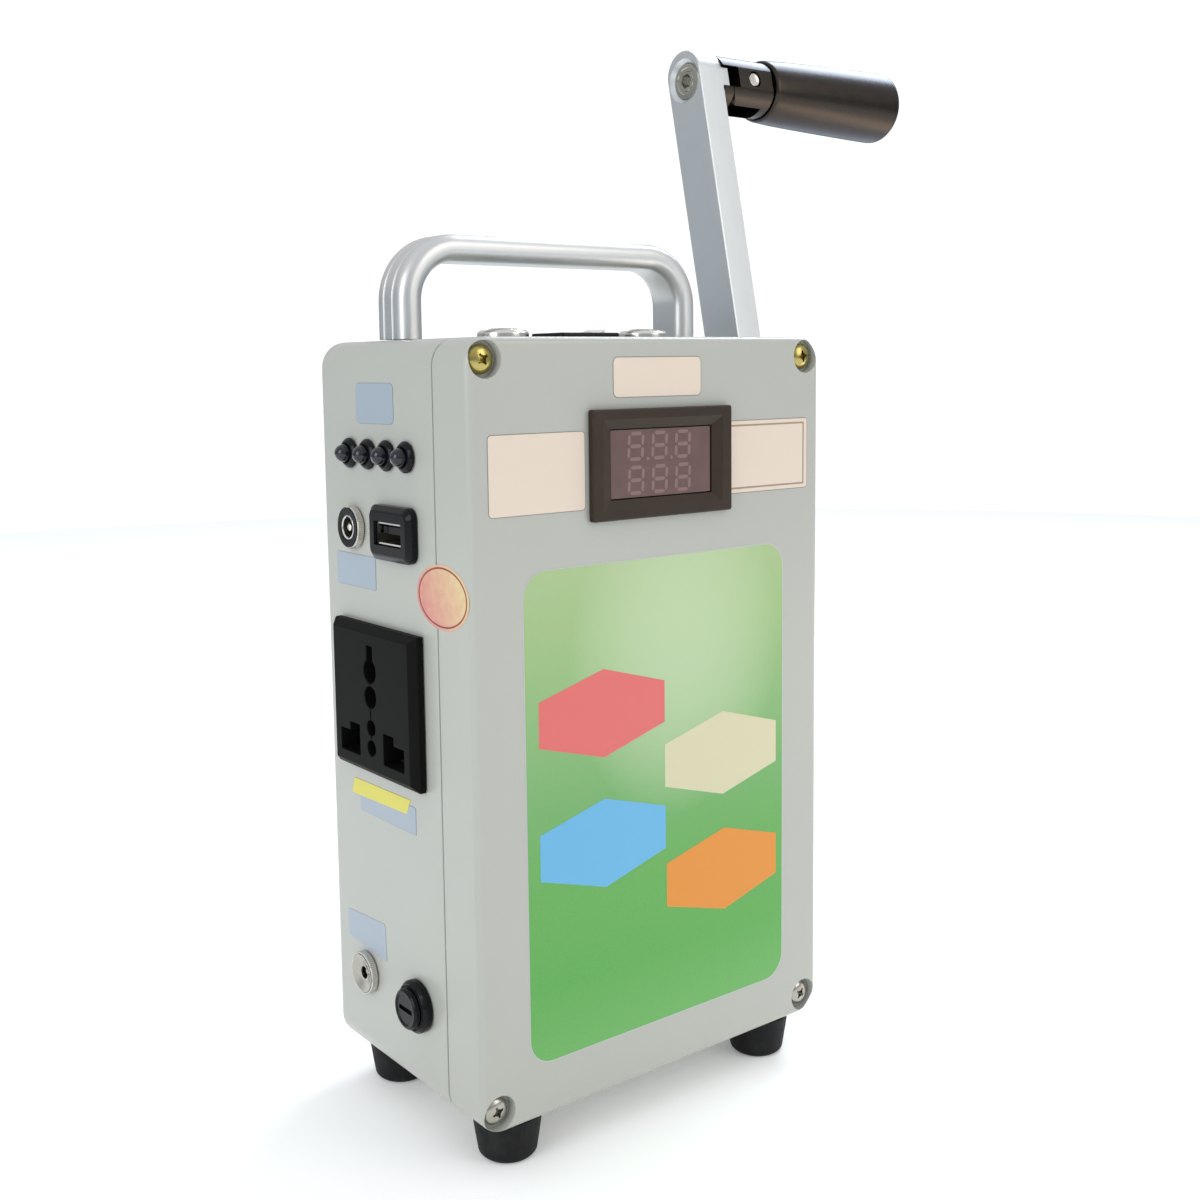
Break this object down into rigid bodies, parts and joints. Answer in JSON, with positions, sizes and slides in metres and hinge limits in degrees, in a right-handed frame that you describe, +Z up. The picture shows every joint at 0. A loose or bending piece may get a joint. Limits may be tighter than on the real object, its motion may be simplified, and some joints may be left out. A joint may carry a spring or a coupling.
{
  "type": "hand crank generator",
  "caption": "Portable box with a panel meter, a universal mains socket, small outlets and lamps, a carry handle, rubber feet and a folding side crank that drives a geared generator.",
  "frame": {"origin": "middle of the overall box at the soles of the feet", "axes": "+Z up, +X towards the crank, -Y towards the panel meter"},
  "size_m": [0.2242, 0.08, 0.3067],
  "materials": {
    "case_plastic": "light grey moulded plastic with a soft sheen",
    "black_plastic": "black moulded plastic with a fine sheen",
    "smoked_window": "smoked red-brown display window, glossy",
    "foot_rubber": "black rubber",
    "aluminium": "satin, fine brushed",
    "black_anodised": "black anodised, turned, satin",
    "steel": "machined steel",
    "nickel": "nickel plated",
    "brass": "turned brass",
    "white_plastic": "white glossy plastic",
    "lamp_plastic": "clear lamp resin, unlit",
    "fuse_glass": "clear glass tube",
    "gear_plastic": "natural white nylon",
    "cell_sleeve": "blue shrink sleeve over metal cells",
    "circuit_board": "green circuit board with a wound transformer"
  },
  "bodies": {
    "box": {"housing": "case_plastic", "lid": "case_plastic", "meter_bezel": "black_plastic", "meter_body": "black_plastic", "ac_socket": "black_plastic", "led_holder_1": "black_plastic", "led_holder_2": "black_plastic", "led_holder_3": "black_plastic", "led_holder_4": "black_plastic", "dc_out_insert": "black_plastic", "charge_insert": "black_plastic", "usb_bezel": "black_plastic", "usb_tongue": "black_plastic", "fuse_holder": "black_plastic", "rocker_bezel": "black_plastic", "meter_window": "smoked_window", "foot_front_left": "foot_rubber", "foot_front_right": "foot_rubber", "foot_rear_left": "foot_rubber", "foot_rear_right": "foot_rubber", "lid_gasket": "foot_rubber", "carry_handle": "aluminium", "inner_plate": "aluminium", "outer_plate": "aluminium", "handle_screw_left": "steel", "handle_screw_right": "steel", "generator_can": "steel", "lid_screw_low_left": "nickel", "lid_screw_low_right": "nickel", "lid_screw_high_left": "nickel", "lid_screw_high_right": "nickel", "dc_out_jack": "nickel", "charge_jack": "nickel", "usb_shell": "nickel", "left_button_bezel": "nickel", "right_button_bezel": "nickel", "wall_bush": "brass", "status_leds": "lamp_plastic", "battery_pack": "cell_sleeve", "inverter_board": "circuit_board"},
    "crank": {"crank_shaft": "steel", "drive_gear": "gear_plastic", "crank_arm": "aluminium", "arm_screw": "steel", "grip_pivot_screw": "steel", "fold_tongue": "black_anodised"},
    "idler": {"idler_gear": "gear_plastic"},
    "rotor": {"generator_rotor": "steel", "generator_pinion": "brass"},
    "yoke": {"fold_yoke": "black_anodised", "fold_pin": "steel", "grip_spindle": "steel", "grip_end_screw": "steel"},
    "grip": {"hand_grip": "black_anodised"},
    "left_button": {"left_button": "steel"},
    "right_button": {"right_button": "steel"},
    "rocker": {"rocker": "white_plastic"},
    "fuse_carrier": {"fuse": "fuse_glass"},
    "fuse_cap": {"fuse_cap": "black_plastic"}
  },
  "joints": [
    {"name": "crank_spin", "type": "hinge", "parent": "box", "child": "crank", "pos_m": [0.02065, -0.00054, 0.157], "axis": [1, 0, 0], "continuous": true},
    {"name": "idler_spin", "type": "hinge", "parent": "box", "child": "idler", "pos_m": [-0.00235, -0.00054, 0.123], "axis": [1, 0, 0], "continuous": true},
    {"name": "rotor_spin", "type": "hinge", "parent": "box", "child": "rotor", "pos_m": [-0.00235, -0.00054, 0.093], "axis": [1, 0, 0], "continuous": true},
    {"name": "grip_fold", "type": "hinge", "parent": "crank", "child": "yoke", "pos_m": [0.04415, 0.02804, 0.29466], "axis": [0, 0.9791, -0.2033], "range_deg": [0, 90]},
    {"name": "grip_spin", "type": "hinge", "parent": "yoke", "child": "grip", "pos_m": [0.08265, 0.02804, 0.29466], "axis": [1, 0, 0], "continuous": true},
    {"name": "left_button_press", "type": "slide", "parent": "box", "child": "left_button", "axis": [0, 0, -1], "range_m": [0, 0.0015], "stiffness_N_per_m": 300, "springref_m": -0.003},
    {"name": "right_button_press", "type": "slide", "parent": "box", "child": "right_button", "axis": [0, 0, -1], "range_m": [0, 0.0015], "stiffness_N_per_m": 300, "springref_m": -0.003},
    {"name": "rocker_flip", "type": "hinge", "parent": "box", "child": "rocker", "pos_m": [-0.04735, -0.00204, 0.2126], "axis": [0, 1, 0], "range_deg": [0, 18]},
    {"name": "fuse_pull", "type": "slide", "parent": "box", "child": "fuse_carrier", "axis": [-1, 0, 0], "range_m": [0, 0.028]},
    {"name": "fuse_turn", "type": "hinge", "parent": "fuse_carrier", "child": "fuse_cap", "pos_m": [-0.10935, -0.00904, 0.0374], "axis": [1, 0, 0], "range_deg": [0, 90]}
  ],
  "couplings": [
    {"joint": "idler_spin", "follows": "crank_spin", "ratio": -4.6667},
    {"joint": "rotor_spin", "follows": "crank_spin", "ratio": 18.667}
  ]
}
